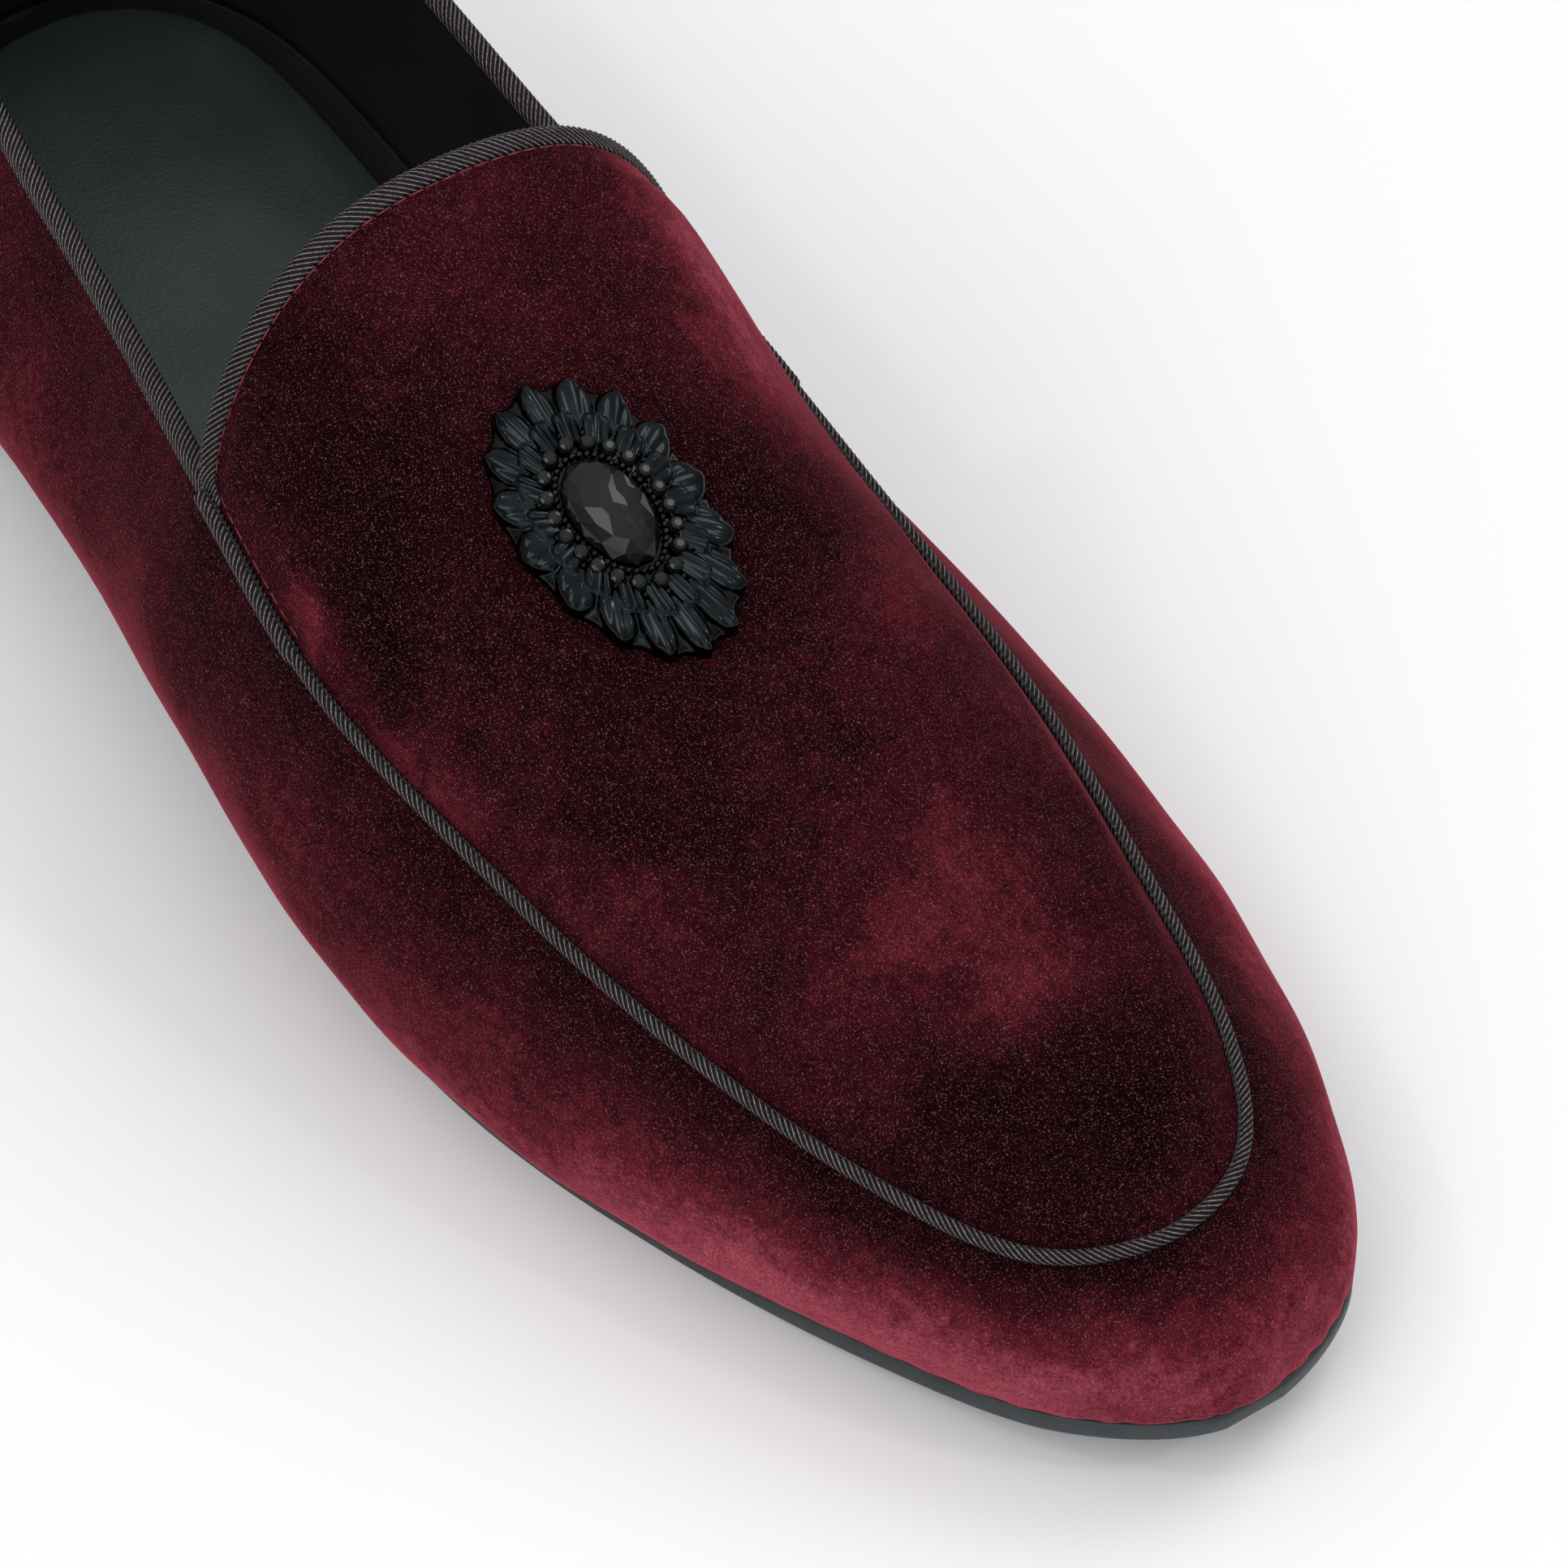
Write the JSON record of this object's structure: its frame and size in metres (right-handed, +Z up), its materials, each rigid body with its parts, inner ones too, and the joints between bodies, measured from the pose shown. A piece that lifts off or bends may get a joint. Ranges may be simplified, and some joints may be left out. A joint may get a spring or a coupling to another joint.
{
  "type": "loafer",
  "caption": "Right velvet slip-on loafer: piped apron and tongue, bound open collar, low heel and a dark oval brooch on the instep.",
  "frame": {"origin": "middle of the bounding box in plan, on the floor plane the heel and forefoot stand on", "axes": "+X towards the toe, +Y towards the inner side of the foot (the wearer's left), +Z up"},
  "size_m": [0.2994, 0.1076, 0.0943],
  "materials": {
    "velvet": "burgundy pile, lighter at grazing angles",
    "twill_tape": "dark ribbed tape, matt",
    "insole_leather": "fine grain, satin",
    "sole_rubber": "smooth, dull",
    "black_metal": "black, polished on the high spots",
    "black_stone": "faceted, glossy"
  },
  "bodies": {
    "root": {"upper": "velvet", "apron": "velvet", "apron_piping": "twill_tape", "topline_binding": "twill_tape", "tongue_binding": "twill_tape", "insole": "insole_leather", "outsole": "sole_rubber", "heel_block": "sole_rubber", "heel_top_piece": "sole_rubber", "brooch_plate": "black_metal", "brooch_stone": "black_stone"}
  },
  "joints": []
}
